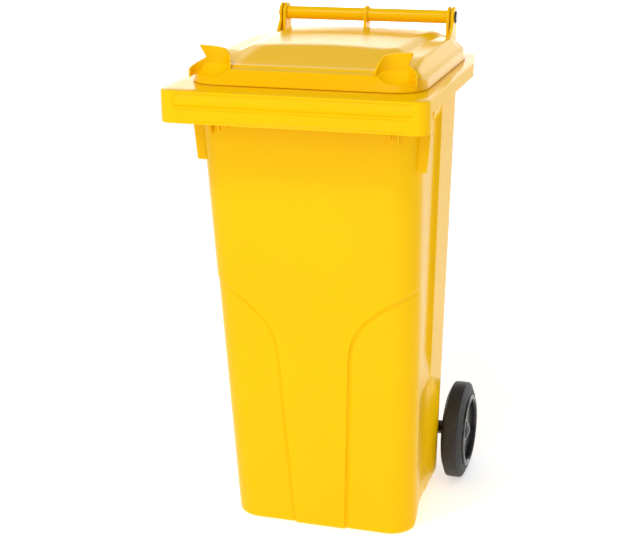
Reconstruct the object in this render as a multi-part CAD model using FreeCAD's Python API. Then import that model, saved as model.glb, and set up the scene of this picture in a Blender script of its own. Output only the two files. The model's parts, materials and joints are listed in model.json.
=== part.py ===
import FreeCAD, Part
import math
import os

# A two-wheeled refuse bin of about 120 litres: a tapered tub with a comb-lift rim, a domed lid hinged on the
# rear handle bar, and two wheels on a steel axle.
# Frame: millimetres, +Z up, the front of the bin towards -Y, the origin on the ground under the middle of the
# overall box.

V = FreeCAD.Vector

# ---------------------------------------------------------------- driving dimensions
overall_width = 480.0
overall_depth = 555.0
front_y = -overall_depth / 2.0          # front face of the rim's skirt
rear_y = overall_depth / 2.0            # back of the wheels

# tub
wall = 4.0
rim_z = 884.0                           # top of the rim's flange
tub_half_top = 206.0                    # half width of the front part of the tub at rim_z
tub_half_base = 181.0                   # and at the ground
tub_front_top = -202.0                  # front wall at rim_z
tub_front_base = -128.0                 # and at the ground
tub_back_top = 154.0
tub_back_base = 130.0
tub_front_radius = 52.0
tub_back_radius = 44.0
side_step_y = -12.0                     # deepest line of the hollows along the sides, seen from above
side_step = 1.0                         # the sides behind the hollows stand out by this
flute_depth = 6.0
flute_start = 10.0                      # behind the end of the front corner's curve
flute_low_z = 310.0
flute_fade = 24.0                       # height over which a hollow dies out
flute_high_z = rim_z - 84.0
flute_run = 8.0                         # length of the upper hollow's steep rear side
low_flute_base_z = 80.0
low_flute_high_z = 262.0
low_flute_run = 70.0
foot_back_y = -92.0                     # back of the foot that stands on the ground
foot_slope = 44.0
floor_z = 40.0                          # underside of the tub behind the foot

# raised panel on the front wall
panel_proud = 4.0
panel_neck_half = 68.0                  # half width of its straight part
panel_foot_half = 50.0
panel_neck_z = 400.0
panel_shoulder_z = 515.0
panel_sweep_x = 0.38                    # middle of the shoulder's curve, as shares of its width and height
panel_sweep_z = 0.72

# rim
rim_back_y = 234.0
rim_front_radius = 22.0
rim_back_radius = 38.0
rim_back_half = overall_width / 2.0 - 17.0   # the rim draws in towards the back, between the two taper lines
rim_taper_start_y = 105.0
rim_taper_end_y = 190.0
rim_wall = 4.0
front_skirt = 57.0
side_skirt = 24.0
front_skirt_return = 34.0               # how far the deep skirt runs back along the sides
skirt_ledge_drop = 29.0                 # the skirt steps out a little at half height
skirt_ledge = 2.0

# gussets under the rim
gusset_thick = 3.0
gusset_first_x = 94.0
gusset_pitch = 15.5
gusset_count = 6
gusset_reach = 11.0
gusset_short = 66.0
gusset_growth = 5.0
gusset_toe = 22.0                       # height of the slanted lower end
fin_y = -160.0
fin_thick = 6.0
fin_reach = 12.0                        # at its lower end
fin_knee_reach = 17.0                   # and where it meets the skirt
fin_bottom_z = rim_z - 147.0

# handle and hinge
bar_y = 228.0
bar_z = rim_z + 68.0
bar_radius = 13.0
bar_bore = 8.0
bar_half = 170.0
eye_radius = bar_radius + 7.0
middle_eye_radius = bar_radius + 4.5
bracket_drop = 92.0                     # how far the brackets reach below the rim's top
bracket_back = 12.0                     # and behind the rim
middle_bracket_back = 4.0
bracket_lid_gap = 6.0
eye_thick = 6.0
eye_clear = 0.05
bracket_x = 167.0                       # middle of the outer eyes' thickness
arm_gap = 2.5
arm_thick = 6.0
arm_root_run = 24.0                     # how far the lid's arms reach forward into the deck
arm_root_drop = 22.0
arm_heel_rise = 24.0                    # underside of the arm's rear corner above the rim
pin_head_radius = 12.0
pin_head_taper = 2.0
pin_head_clear = 0.5                    # between the pin's head and the lid's arm
pin_barb = 5.0
pin_barb_taper = 2.5
pin_slot = 2.0
pin_slot_end = 14.0                     # the slot stops this far from the head
pin_head_thick = 3.0
pin_shank = 26.0
pin_radius = 7.97
hinge_clear = 0.08                      # between the pin and the lid's arm

# lid
lid_wall = 3.0
lid_gap = 0.5                           # between the lid's lip and the rim
lid_half = 215.0
lid_front_y = -214.0
lid_back_y = 197.0
lid_radius = 56.0
lip_height = 9.0
deck_z = rim_z + 39.0
deck_half = 194.0
deck_front_y = -188.0
deck_back_y = 190.0
deck_radius = 44.0
roof_rise = 14.0
roof_half = 164.0
roof_front_y = -150.0
roof_front_run = 90.0                   # length of the roof's front slope, seen from above
roof_side_run = 40.0
roof_crown_radius = 1400.0
roof_radius = 25.0

# hand grips at the lid's front corners: a shallow scoop, and a curved guard standing round its back
grip_x = 167.0
grip_y = -214.0
scoop_radius = 42.0
scoop_low_z = rim_z + 14.0
guard_radius = 35.5                     # inner face of the guard, seen from above
guard_thick = 3.5
guard_root_z = rim_z + 12.0
guard_low_z = rim_z + 46.0              # the guard's top at its front end
guard_high_z = rim_z + 66.0             # and at its outer end
guard_end_x = 182.0
guard_flare = 13.0                      # how far the outer end leans out
guard_neck_z = rim_z + 48.0             # below the flare, a lower wall carries on round the outside
guard_lip_z = rim_z + 28.0
guard_front_y = -207.0

# axle and wheels
wheel_radius = 100.0
axle_z = wheel_radius
axle_y = rear_y - wheel_radius
axle_radius = 10.0
axle_half = 224.0
axle_bevel = 1.5
groove_x = 213.0
groove_width = 7.0
groove_depth = 1.8
lug_outer_x = 154.0
lug_thick = 10.0
lug_inner_x = 92.0
lug_radius = axle_radius + 14.0
lug_rise = 70.0                         # top of the lugs on the back wall, above the axle
lug_root = 20.0                         # depth of the lugs' roots under the floor
tread_rise = 24.0                       # tread plate above the axle
tread_reach = 14.0                      # and how far it passes the axle
bush_radius = axle_radius + 4.0
bush_spigot_radius = axle_radius + 2.0
bush_clear = 0.05
bush_out_x = 187.6
tyre_inner_x = 194.0
tyre_outer_x = 230.0
hub_inner_x = 189.0
hub_outer_x = 237.0
tyre_seat_radius = wheel_radius - 22.0
tyre_bead_radius = wheel_radius - 30.0
tyre_bulge = 3.0                        # sidewalls beside the tread
tyre_bevel = 4.0
hub_web_thick = 5.0
hub_web_x = 222.0
hub_web_bore = axle_radius + 2.0
hub_boss_radius = axle_radius + 13.0
hub_ring_wall = 6.0
hub_bead_lip = 4.0                      # outer lip over the tyre's bead
hub_bevel = 2.0
hub_rib_count = 6
hub_rib_thick = 4.0
hub_rib_inset = 8.0                     # ribs behind the hub's inner face
hub_bush_wall = 2.5
run_clear = 0.1
cap_radius = axle_radius + 7.0
cap_rise = 6.0
cap_edge = 2.0
cap_plug = 1.5
lock_clear = 0.25
lock_seat_rise = 2.0                    # the pin's head sits this far above the hub's boss
lock_radius = 3.0
lock_head_radius = 5.0
lock_head_thick = 4.0
lock_travel = 3.5
lock_tip_gap = 0.4
tower_radius = 8.5
tower_top = axle_radius + 36.0
tower_roof = 3.0
spring_wire = 0.9
spring_radius = 3.85                    # middle of the wire
spring_turns = 6
tread_thick = 5.0
fit_gap = 0.1                           # small working gap between neighbouring faces
past = 1.0                              # cutting bodies pass the faces they cut by this


# ---------------------------------------------------------------- small helpers
def mix(a, b, t):
    return a + (b - a) * t


def share(z):
    """How far up the tub a height is: 0 at the ground and 1 at the rim."""
    return z / rim_z


def tub_half(z):
    return mix(tub_half_base, tub_half_top, share(z))


def tub_front(z):
    return mix(tub_front_base, tub_front_top, share(z))


def tub_back(z):
    return mix(tub_back_base, tub_back_top, share(z))


def box(x0, x1, y0, y1, z0, z1):
    return Part.makeBox(x1 - x0, y1 - y0, z1 - z0, V(x0, y0, z0))


def rod(radius, x0, x1, y, z):
    """A cylinder along X."""
    return Part.makeCylinder(radius, x1 - x0, V(x0, y, z), V(1, 0, 0))


def corner(cx, cy, z, radius, start_deg):
    """A quarter arc, anticlockwise from above."""
    points = []
    for turn in (0.0, 45.0, 90.0):
        a = math.radians(start_deg + turn)
        points.append(V(cx + radius * math.cos(a), cy + radius * math.sin(a), z))
    return Part.Arc(*points).toShape()


def rounded_ring(z, half, y0, y1, r_front, r_back, side=()):
    """A closed outline at height z. side holds extra (x, y) points of the right-hand side, front to back."""
    right = [V(half, y0 + r_front, z)] + [V(x, y, z) for x, y in side]
    back_half = side[-1][0] if side else half
    right.append(V(back_half, y1 - r_back, z))
    left = [V(-p.x, p.y, z) for p in reversed(right)]
    edges = [Part.makeLine(V(-half + r_front, y0, z), V(half - r_front, y0, z))]
    edges.append(corner(half - r_front, y0 + r_front, z, r_front, -90))
    edges += [Part.makeLine(a, b) for a, b in zip(right, right[1:])]
    edges.append(corner(back_half - r_back, y1 - r_back, z, r_back, 0))
    edges.append(Part.makeLine(V(back_half - r_back, y1, z), V(-back_half + r_back, y1, z)))
    edges.append(corner(-back_half + r_back, y1 - r_back, z, r_back, 90))
    edges += [Part.makeLine(a, b) for a, b in zip(left, left[1:])]
    edges.append(corner(-half + r_front, y0 + r_front, z, r_front, 180))
    return Part.Wire(edges)


def slab(ring, height):
    return Part.Face(ring).extrude(V(0, 0, height))


def loft(rings):
    return Part.makeLoft(rings, True, True)


def prism_x(points, x0, x1):
    """A polygon given as (y, z) points, carried along X."""
    wire = Part.makePolygon([V(x0, y, z) for y, z in points + points[:1]])
    return Part.Face(wire).extrude(V(x1 - x0, 0, 0))


def mirrored(shape):
    return shape.mirror(V(0, 0, 0), V(1, 0, 0))


def fuse(shapes):
    return shapes[0].multiFuse(shapes[1:]).removeSplitter()


# ---------------------------------------------------------------- tub
def tub_ring(z, inset):
    """The tub's outline at a height, moved inwards by inset."""
    half = tub_half(z) - inset
    high = flute_low_z <= z <= flute_high_z
    low = low_flute_base_z <= z <= low_flute_high_z
    hollow = flute_depth if high or low else 0.0
    run = low_flute_run if z < flute_low_z - flute_fade / 2.0 else flute_run
    side = [
        (half, tub_front(z) + tub_front_radius + flute_start),
        (half - hollow, side_step_y + inset),
        (half + side_step, side_step_y + run + inset),
    ]
    return rounded_ring(z, half, tub_front(z) + inset, tub_back(z) - inset,
                        tub_front_radius - inset, tub_back_radius - inset, side)


def tub_solid(inset, floor):
    """The tapered block of the tub; inset moves its sides in, and floor lifts its underside."""
    heights = (0.0, low_flute_base_z - flute_fade, low_flute_base_z, low_flute_high_z,
               low_flute_high_z + flute_fade, flute_low_z, flute_high_z, flute_high_z + flute_fade, rim_z)
    block = loft([tub_ring(z, inset) for z in heights])
    step_back = [
        (foot_back_y - inset, -past),
        (foot_back_y - inset, past + floor),
        (foot_back_y + foot_slope - inset, floor_z + floor),
        (rear_y, floor_z + floor),
        (rear_y, -past),
    ]
    block = block.cut(prism_x(step_back, -overall_width, overall_width))
    if floor > 0:
        block = block.cut(box(-overall_width, overall_width, front_y, rear_y, -past, floor))
    return block


def front_panel():
    """The raised panel on the front wall: straight sides, and shoulders that curve out to the corners."""
    mid_x = mix(panel_neck_half, tub_half_base, panel_sweep_x)
    mid_z = mix(panel_neck_z, panel_shoulder_z, panel_sweep_z)
    end_x = tub_half(panel_shoulder_z)
    top_z = rim_z - front_skirt
    y = front_y

    def at(x, z):
        return V(x, y, z)

    right = Part.Arc(at(panel_neck_half, panel_neck_z), at(mid_x, mid_z), at(end_x, panel_shoulder_z)).toShape()
    left = Part.Arc(at(-end_x, panel_shoulder_z), at(-mid_x, mid_z), at(-panel_neck_half, panel_neck_z)).toShape()
    edges = [
        Part.makeLine(at(-panel_foot_half, 0), at(panel_foot_half, 0)),
        Part.makeLine(at(panel_foot_half, 0), at(panel_neck_half, panel_neck_z)),
        right,
        Part.makeLine(at(end_x, panel_shoulder_z), at(end_x, top_z)),
        Part.makeLine(at(end_x, top_z), at(-end_x, top_z)),
        Part.makeLine(at(-end_x, top_z), at(-end_x, panel_shoulder_z)),
        left,
        Part.makeLine(at(-panel_neck_half, panel_neck_z), at(-panel_foot_half, 0)),
    ]
    outline = Part.Face(Part.Wire(edges)).extrude(V(0, overall_depth / 2.0, 0))
    skin = loft([
        rounded_ring(z, tub_half(z), tub_front(z) - panel_proud, 0.0, tub_front_radius, rim_front_radius)
        for z in (0.0, rim_z)
    ])
    return outline.common(skin)


def rim_ring(z, inset, front_inset):
    """The rim's outline at a height, moved in by inset at the sides and the back and by front_inset in front."""
    side = [
        (overall_width / 2.0 - inset, rim_taper_start_y),
        (rim_back_half - inset, rim_taper_end_y),
    ]
    return rounded_ring(z, overall_width / 2.0 - inset, front_y + front_inset, rim_back_y - inset,
                        rim_front_radius, rim_back_radius - inset, side)


def rim_band(depth, drop, outset, y_end):
    """A strip of skirt as thick as the rim, depth down to drop below the rim's top, cut off behind y_end."""
    z = rim_z - depth
    out = slab(rim_ring(z, outset, outset), depth - drop)
    inn = slab(rim_ring(z, outset + rim_wall, outset + rim_wall), depth - drop)
    return out.cut(inn).common(box(-overall_width, overall_width, front_y, y_end, 0, rim_z))


def rim():
    """The flange, the shallow skirt all round, and the deep front skirt with its ledge."""
    skirt_end_y = front_y + front_skirt_return
    return fuse([
        slab(rim_ring(rim_z - rim_wall, 0.0, 0.0), rim_wall),
        rim_band(side_skirt, 0.0, skirt_ledge, rim_back_y),
        rim_band(front_skirt, 0.0, skirt_ledge, skirt_end_y),
        rim_band(front_skirt, skirt_ledge_drop, 0.0, skirt_end_y),
    ])


def gussets():
    made = []
    for i in range(gusset_count):
        x = gusset_first_x + i * gusset_pitch
        drop = gusset_short + i * gusset_growth
        top = rim_z - rim_wall
        low = rim_z - drop
        outline = [
            (tub_front(top) + wall / 2.0, top),
            (tub_front(top) - gusset_reach, top),
            (tub_front(top) - gusset_reach, low + gusset_toe),
            (tub_front(low) + wall / 2.0, low),
        ]
        rib = prism_x(outline, x - gusset_thick / 2.0, x + gusset_thick / 2.0)
        made += [rib, mirrored(rib)]
    return made


def side_fins():
    """One upright fin under the rim on each side, behind the front corner."""
    low, top = fin_bottom_z, rim_z - rim_wall
    points = [
        V(tub_half(low) - wall / 2.0, 0, low),
        V(tub_half(low) + fin_reach, 0, low),
        V(tub_half(rim_z - front_skirt) + fin_knee_reach, 0, rim_z - front_skirt - fin_thick),
        V(overall_width / 2.0 - skirt_ledge - rim_wall / 2.0, 0, top),
        V(tub_half(top) - wall / 2.0, 0, top),
    ]
    points = [V(p.x, fin_y - fin_thick / 2.0, p.z) for p in points]
    fin = Part.Face(Part.makePolygon(points + points[:1])).extrude(V(0, fin_thick, 0))
    return [fin, mirrored(fin)]


def handle_eyes():
    """Three upright brackets that carry the handle bar behind the rim; the middle one is narrower."""
    made = []
    low = rim_z - bracket_drop
    outer = (eye_radius, rim_back_y + bracket_back)
    middle = (middle_eye_radius, rim_back_y + middle_bracket_back)
    for x, (radius, back_y) in ((-bracket_x, outer), (0.0, middle), (bracket_x, outer)):
        x0, x1 = x - eye_thick / 2.0, x + eye_thick / 2.0
        plate = prism_x([
            (tub_back(low) - wall / 2.0, low),
            (tub_back(rim_z) - wall / 2.0, rim_z - rim_wall / 2.0),
            (lid_back_y + bracket_lid_gap, rim_z - rim_wall / 2.0),
            (bar_y - radius, bar_z),
            (bar_y, bar_z),
            (bar_y + radius, bar_z),
            (back_y, bar_z - 2.0 * radius),
            (back_y, rim_z - side_skirt),
        ], x0, x1)
        made.append(plate.fuse(rod(radius, x0, x1, bar_y, bar_z)))
    return made


def axle_lugs():
    """Four upright lugs behind the tub's floor for the axle, and the tread plate for the user's foot."""
    made = []
    low_turn, high_turn = math.radians(-115.0), math.radians(37.0)
    for x in (lug_outer_x - lug_thick / 2.0, lug_inner_x):
        x0, x1 = x - lug_thick / 2.0, x + lug_thick / 2.0
        top = axle_z + lug_rise
        root_y = tub_back(floor_z) - wall - lug_root
        plate = prism_x([
            (root_y, floor_z),
            (axle_y + lug_radius * math.cos(low_turn), axle_z + lug_radius * math.sin(low_turn)),
            (axle_y, axle_z),
            (axle_y + lug_radius * math.cos(high_turn), axle_z + lug_radius * math.sin(high_turn)),
            (tub_back(top) - wall / 2.0, top),
            (root_y, axle_z),
        ], x0, x1)
        lug = plate.fuse(rod(lug_radius, x0, x1, axle_y, axle_z))
        made += [lug, mirrored(lug)]
    tread_z = axle_z + tread_rise
    made.append(box(-lug_inner_x, lug_inner_x, tub_back(tread_z) - wall / 2.0, axle_y + tread_reach,
                    tread_z, tread_z + tread_thick))
    return made


def make_tub():
    outside = tub_solid(0.0, 0.0)
    solid = fuse([outside, front_panel(), rim()] + gussets() + side_fins() + handle_eyes() + axle_lugs())
    inside = tub_solid(wall, wall)
    mouth = slab(tub_ring(rim_z, wall), rim_wall)
    solid = solid.cut(inside).cut(mouth)
    axle_hole = rod(bush_spigot_radius + bush_clear, lug_inner_x + lug_thick, overall_width / 2.0, axle_y, axle_z)
    solid = solid.cut([axle_hole, mirrored(axle_hole)])
    solid = solid.cut(rod(axle_radius + run_clear, -overall_width / 2.0, overall_width / 2.0, axle_y, axle_z))
    solid = solid.cut(rod(bar_radius + eye_clear, -overall_width / 2.0, overall_width / 2.0, bar_y, bar_z))
    return solid.removeSplitter()


# ---------------------------------------------------------------- lid
def lid_block(inset):
    """The closed outer form of the lid, moved inwards by inset."""
    z0 = rim_z + lid_gap
    z_lip = z0 + lip_height - inset * 0.5
    z_deck = deck_z - inset

    def lip_ring(z):
        return rounded_ring(z, lid_half - inset, lid_front_y + inset, lid_back_y - inset,
                            lid_radius - inset, lid_radius - inset)

    deck = rounded_ring(z_deck, deck_half - inset, deck_front_y + inset, deck_back_y - inset,
                        deck_radius - inset, deck_radius - inset)
    lower = loft([lip_ring(z0), lip_ring(z_lip)])
    upper = loft([lip_ring(z_lip), deck])
    roof_low = rounded_ring(z_deck - past, roof_half - inset, roof_front_y + inset, deck_back_y - inset,
                            roof_radius, roof_radius)
    roof_top = rounded_ring(z_deck + roof_rise, roof_half - roof_side_run - inset,
                            roof_front_y + roof_front_run + inset, deck_back_y - 2.0 - inset,
                            roof_radius, roof_radius)
    crown_z = z_deck + roof_rise - roof_crown_radius
    crown = Part.makeCylinder(roof_crown_radius, overall_depth, V(0, front_y, crown_z), V(0, 1, 0))
    roof = loft([roof_low, roof_top]).common(crown)
    return fuse([lower, upper, roof])


def scoop(grow):
    """The ball that hollows out the right-hand grip's scoop, made larger by grow."""
    return Part.makeSphere(scoop_radius + grow, V(grip_x, grip_y, scoop_low_z + scoop_radius))


def grip_guard():
    """The curved guard round the back of the right-hand scoop. Its top leans out, over a lower outer lip."""
    height = guard_high_z - guard_root_z
    foot = V(grip_x, grip_y, guard_root_z)
    outer = Part.makeCylinder(guard_radius + guard_thick, height, foot)
    tube = outer.cut(Part.makeCylinder(guard_radius, height, foot))
    front_x = grip_x - guard_radius - guard_thick - past
    points = [
        V(front_x, guard_front_y, guard_root_z),
        V(2.0 * grip_x - front_x, guard_front_y, guard_root_z),
        V(2.0 * grip_x - front_x, guard_front_y, guard_lip_z),
        V(guard_end_x, guard_front_y, guard_neck_z),
        V(guard_end_x + guard_flare, guard_front_y, guard_high_z),
        V(grip_x - guard_radius / 2.0, guard_front_y, guard_high_z - guard_thick),
        V(front_x, guard_front_y, guard_low_z),
    ]
    side = Part.Face(Part.makePolygon(points + points[:1])).extrude(V(0, 2.0 * guard_radius, 0))
    return tube.common(side)


def hinge_arm():
    """One arm of the lid, outside the right-hand bracket, with its eye round the hinge pin."""
    x0 = bracket_x + eye_thick / 2.0 + arm_gap
    x1 = x0 + arm_thick
    plate = prism_x([
        (deck_back_y - arm_root_run, deck_z - arm_root_drop),
        (lid_back_y - lid_wall, rim_z + arm_heel_rise / 2.0),
        (bar_y + eye_radius / 2.0, rim_z + arm_heel_rise),
        (bar_y + eye_radius, bar_z),
        (bar_y, bar_z),
        (bar_y - eye_radius, bar_z),
        (deck_back_y - lid_wall, deck_z),
        (deck_back_y - arm_root_run, deck_z - lid_wall),
    ], x0, x1)
    return plate.fuse(rod(eye_radius, x0, x1, bar_y, bar_z))


def make_lid():
    outside = lid_block(0.0)
    cavity = lid_block(lid_wall)
    opening = slab(rounded_ring(rim_z, lid_half - lid_wall, lid_front_y + lid_wall, lid_back_y - lid_wall,
                                lid_radius - lid_wall, lid_radius - lid_wall), lid_gap + past)
    shell = outside.cut(cavity.fuse(opening))
    cup = scoop(lid_wall).common(outside)
    solid = fuse([shell, cup, mirrored(cup)]).cut([scoop(0.0), mirrored(scoop(0.0))])
    guard = grip_guard().cut(cavity)
    arm = hinge_arm()
    solid = fuse([solid, guard, mirrored(guard), arm, mirrored(arm)])
    bore = rod(pin_radius + hinge_clear, -lid_half, lid_half, bar_y, bar_z)
    return solid.cut(bore)


# ---------------------------------------------------------------- handle and hinge pins
def make_handle_bar():
    tube = rod(bar_radius, -bar_half, bar_half, bar_y, bar_z)
    return tube.cut(rod(bar_bore, -bar_half, bar_half, bar_y, bar_z))


def make_hinge_pin():
    """Head, bearing shank through the lid's arm, and the barbed end that grips inside the bar."""
    head_x = bracket_x + eye_thick / 2.0 + arm_gap + arm_thick + pin_head_clear
    end_x = head_x - pin_shank
    along = V(1, 0, 0)
    shank = rod(pin_radius, end_x, head_x, bar_y, bar_z)
    head = Part.makeCone(pin_head_radius, pin_head_radius - pin_head_taper, pin_head_thick,
                         V(head_x, bar_y, bar_z), along)
    tip = Part.makeCone(pin_radius - pin_barb_taper, pin_radius, pin_barb, V(end_x - pin_barb, bar_y, bar_z), along)
    slot = box(end_x - pin_barb - past, head_x - pin_slot_end, bar_y - pin_slot / 2.0, bar_y + pin_slot / 2.0,
               bar_z - bar_radius, bar_z + bar_radius)
    return fuse([shank, head, tip]).cut(slot)


# ---------------------------------------------------------------- axle and wheels
def make_axle():
    axle = rod(axle_radius, -axle_half, axle_half, axle_y, axle_z)
    ends = [e for e in axle.Edges if e.BoundBox.XLength < fit_gap]
    axle = axle.makeChamfer(axle_bevel, ends)
    x0 = groove_x - groove_width / 2.0
    x1 = x0 + groove_width
    ring = rod(axle_radius + past, x0, x1, axle_y, axle_z)
    ring = ring.cut(rod(axle_radius - groove_depth, x0 - past, x1 + past, axle_y, axle_z))
    return axle.cut([ring, mirrored(ring)])


def make_axle_bush():
    """A sleeve on the axle with a spigot in the tub's outer lug."""
    seat = lug_outer_x
    body = rod(bush_radius, seat, bush_out_x, axle_y, axle_z)
    spigot = rod(bush_spigot_radius, seat - lug_thick, seat, axle_y, axle_z)
    bore = rod(axle_radius + run_clear, seat - lug_thick - past, bush_out_x + past, axle_y, axle_z)
    return body.fuse(spigot).cut(bore)


def turned(profile):
    """A profile of (x, radius) points turned about the axle's line."""
    points = [V(x, axle_y, axle_z + r) for x, r in profile]
    face = Part.Face(Part.makePolygon(points + points[:1]))
    return face.revolve(V(0, axle_y, axle_z), V(1, 0, 0), 360)


def make_tyre():
    inner_x, outer_x = tyre_inner_x - tyre_bulge, tyre_outer_x + tyre_bulge
    side_radius = tyre_seat_radius + tyre_bevel
    return turned([
        (inner_x, tyre_bead_radius),
        (inner_x, side_radius),
        (inner_x + tyre_bevel, wheel_radius - tyre_bevel),
        (inner_x + 2.0 * tyre_bevel, wheel_radius),
        (outer_x - 2.0 * tyre_bevel, wheel_radius),
        (outer_x - tyre_bevel, wheel_radius - tyre_bevel),
        (outer_x, side_radius),
        (outer_x, tyre_bead_radius),
    ])


def hub_ring():
    """The hub's rim, with a lip over the tyre's bead on its outer side."""
    seat = tyre_bead_radius
    low = seat - hub_ring_wall
    inner_x, outer_x = tyre_inner_x - tyre_bulge, tyre_outer_x + tyre_bulge
    return turned([
        (inner_x, seat), (outer_x, seat), (outer_x, seat + hub_bead_lip),
        (hub_outer_x - hub_bevel, seat + hub_bead_lip), (hub_outer_x, seat + hub_bevel),
        (hub_outer_x, low + hub_bevel), (hub_outer_x - 2.0 * hub_bevel, low), (hub_inner_x + hub_bevel, low),
        (hub_inner_x, low + hub_bevel), (hub_inner_x, seat + hub_bevel), (inner_x, seat + hub_bevel),
    ])


def make_hub():
    low = tyre_bead_radius - hub_ring_wall + past
    web_outer_x = hub_web_x + hub_web_thick
    centre = V(groove_x, axle_y, axle_z)
    up = V(0, 0, 1)
    web = turned([(hub_web_x, hub_web_bore), (web_outer_x, hub_web_bore), (web_outer_x, low), (hub_web_x, low)])
    boss = rod(hub_boss_radius, hub_inner_x, web_outer_x + past, axle_y, axle_z)
    tower = Part.makeCylinder(tower_radius, tower_top, centre, up)
    ribs = []
    for i in range(hub_rib_count):
        rib = box(hub_inner_x + hub_rib_inset, hub_web_x + past, axle_y - hub_rib_thick / 2.0,
                  axle_y + hub_rib_thick / 2.0, axle_z + hub_boss_radius - past, axle_z + low)
        rib.rotate(V(0, axle_y, axle_z), V(1, 0, 0), (i + 0.5) * 360.0 / hub_rib_count)
        ribs.append(rib)
    hub = fuse([hub_ring(), web, boss, tower] + ribs)
    hub = hub.cut(rod(axle_radius + run_clear + hub_bush_wall, hub_inner_x - past, hub_outer_x, axle_y, axle_z))
    shoulder = hub_boss_radius + lock_seat_rise
    hub = hub.cut(Part.makeCylinder(lock_radius + lock_clear, shoulder, centre, up))
    return hub.cut(Part.makeCylinder(lock_head_radius + lock_clear, tower_top - tower_roof - shoulder,
                                     V(groove_x, axle_y, axle_z + shoulder), up))


def make_hub_bush():
    """The plain bearing pressed into the hub, with a hole for the locking pin."""
    outer = axle_radius + run_clear + hub_bush_wall
    x0, x1 = hub_inner_x + past, axle_half + hub_bevel
    bush = rod(outer, x0, x1, axle_y, axle_z)
    bush = bush.cut(rod(axle_radius + run_clear, x0 - past, x1 + past, axle_y, axle_z))
    hole = Part.makeCylinder(lock_radius + lock_clear, 2.0 * outer, V(groove_x, axle_y, axle_z), V(0, 0, 1))
    return bush.cut(hole)


def make_hub_cap():
    """The domed plug that closes the outer end of the hub."""
    x0 = hub_web_x + hub_web_thick + past
    plug = rod(axle_radius + run_clear + hub_bush_wall - fit_gap, x0 - cap_plug, x0, axle_y, axle_z)
    dome_radius = (cap_radius ** 2 + cap_rise ** 2) / (2.0 * cap_rise)
    ball = Part.makeSphere(dome_radius, V(x0 + cap_plug + cap_rise - dome_radius, axle_y, axle_z))
    dome = ball.common(rod(cap_radius, x0, x0 + cap_edge + cap_rise, axle_y, axle_z))
    return fuse([plug, dome])


def lock_levels():
    """Heights of the locking pin's tip, of the underside of its head and of its top."""
    tip = axle_z + axle_radius - groove_depth + lock_tip_gap
    head = axle_z + hub_boss_radius + lock_seat_rise + fit_gap
    return tip, head, head + lock_head_thick


def make_lock_pin():
    tip_z, head_z, top_z = lock_levels()
    shank = Part.makeCylinder(lock_radius, head_z - tip_z, V(groove_x, axle_y, tip_z), V(0, 0, 1))
    head = Part.makeCylinder(lock_head_radius, top_z - head_z, V(groove_x, axle_y, head_z), V(0, 0, 1))
    return shank.fuse(head)


def make_lock_spring():
    """A compression spring between the pin's head and the end of its tower."""
    end = spring_wire / 2.0 + fit_gap
    low = lock_levels()[2] + end
    high = axle_z + tower_top - tower_roof - end
    helix = Part.makeHelix((high - low) / spring_turns, high - low, spring_radius)
    section = Part.Wire(Part.makeCircle(spring_wire / 2.0, V(spring_radius, 0, 0), V(0, 1, 0)))
    coil = Part.Wire(helix).makePipeShell([section], True, True)
    coil.translate(V(groove_x, axle_y, low))
    return coil


# ---------------------------------------------------------------- write the parts
def write(name, shape):
    """One STEP file for one closed solid."""
    if len(shape.Solids) != 1 or not shape.isValid():
        raise ValueError(name + " is not one valid solid")
    solid = shape.Solids[0]
    solid.exportStep("parts/" + name + ".step")
    b = solid.BoundBox
    print("%-18s volume %9.0f  x %7.1f %7.1f  y %7.1f %7.1f  z %7.1f %7.1f" % (
        name, solid.Volume, b.XMin, b.XMax, b.YMin, b.YMax, b.ZMin, b.ZMax))


def main():
    os.makedirs("parts", exist_ok=True)
    write("tub", make_tub())
    write("lid", make_lid())
    write("handle_bar", make_handle_bar())
    write("axle", make_axle())
    pairs = {
        "hinge_pin": make_hinge_pin(),
        "axle_bush": make_axle_bush(),
        "tyre": make_tyre(),
        "hub": make_hub(),
        "hub_bush": make_hub_bush(),
        "hub_cap": make_hub_cap(),
        "lock_pin": make_lock_pin(),
        "lock_spring": make_lock_spring(),
    }
    for name, shape in pairs.items():
        write(name + "_right", shape)
        write(name + "_left", mirrored(shape))


main()
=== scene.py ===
# %% [markdown]
# # A wheelie bin, dressed for a studio picture
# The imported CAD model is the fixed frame: it says where the tub, the lid, the handle bar, the axle and
# the wheels are, and which of them move together. This lesson keeps the small CAD parts, and builds the
# large moulded shells again as fine meshes, because their soft edges and shallow steps are what makes
# them look moulded.

# %% Load the frame
import json
import math

import bpy
import numpy as np
from mathutils import Matrix, Vector


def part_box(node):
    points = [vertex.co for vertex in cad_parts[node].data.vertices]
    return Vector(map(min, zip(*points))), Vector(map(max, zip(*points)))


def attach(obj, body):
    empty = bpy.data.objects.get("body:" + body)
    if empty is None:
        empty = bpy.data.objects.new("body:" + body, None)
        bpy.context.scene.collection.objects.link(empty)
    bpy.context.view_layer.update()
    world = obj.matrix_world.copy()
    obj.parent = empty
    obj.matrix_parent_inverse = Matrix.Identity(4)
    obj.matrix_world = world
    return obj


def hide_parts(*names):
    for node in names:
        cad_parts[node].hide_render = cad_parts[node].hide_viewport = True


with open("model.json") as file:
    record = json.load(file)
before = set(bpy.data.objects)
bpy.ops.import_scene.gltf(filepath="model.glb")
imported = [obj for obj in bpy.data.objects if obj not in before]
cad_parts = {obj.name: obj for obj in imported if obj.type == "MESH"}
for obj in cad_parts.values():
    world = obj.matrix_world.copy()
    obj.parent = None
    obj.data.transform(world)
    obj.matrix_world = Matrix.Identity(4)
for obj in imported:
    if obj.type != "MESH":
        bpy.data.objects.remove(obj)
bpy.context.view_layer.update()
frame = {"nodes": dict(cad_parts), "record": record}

print("nodes:", len(frame["nodes"]))

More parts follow.
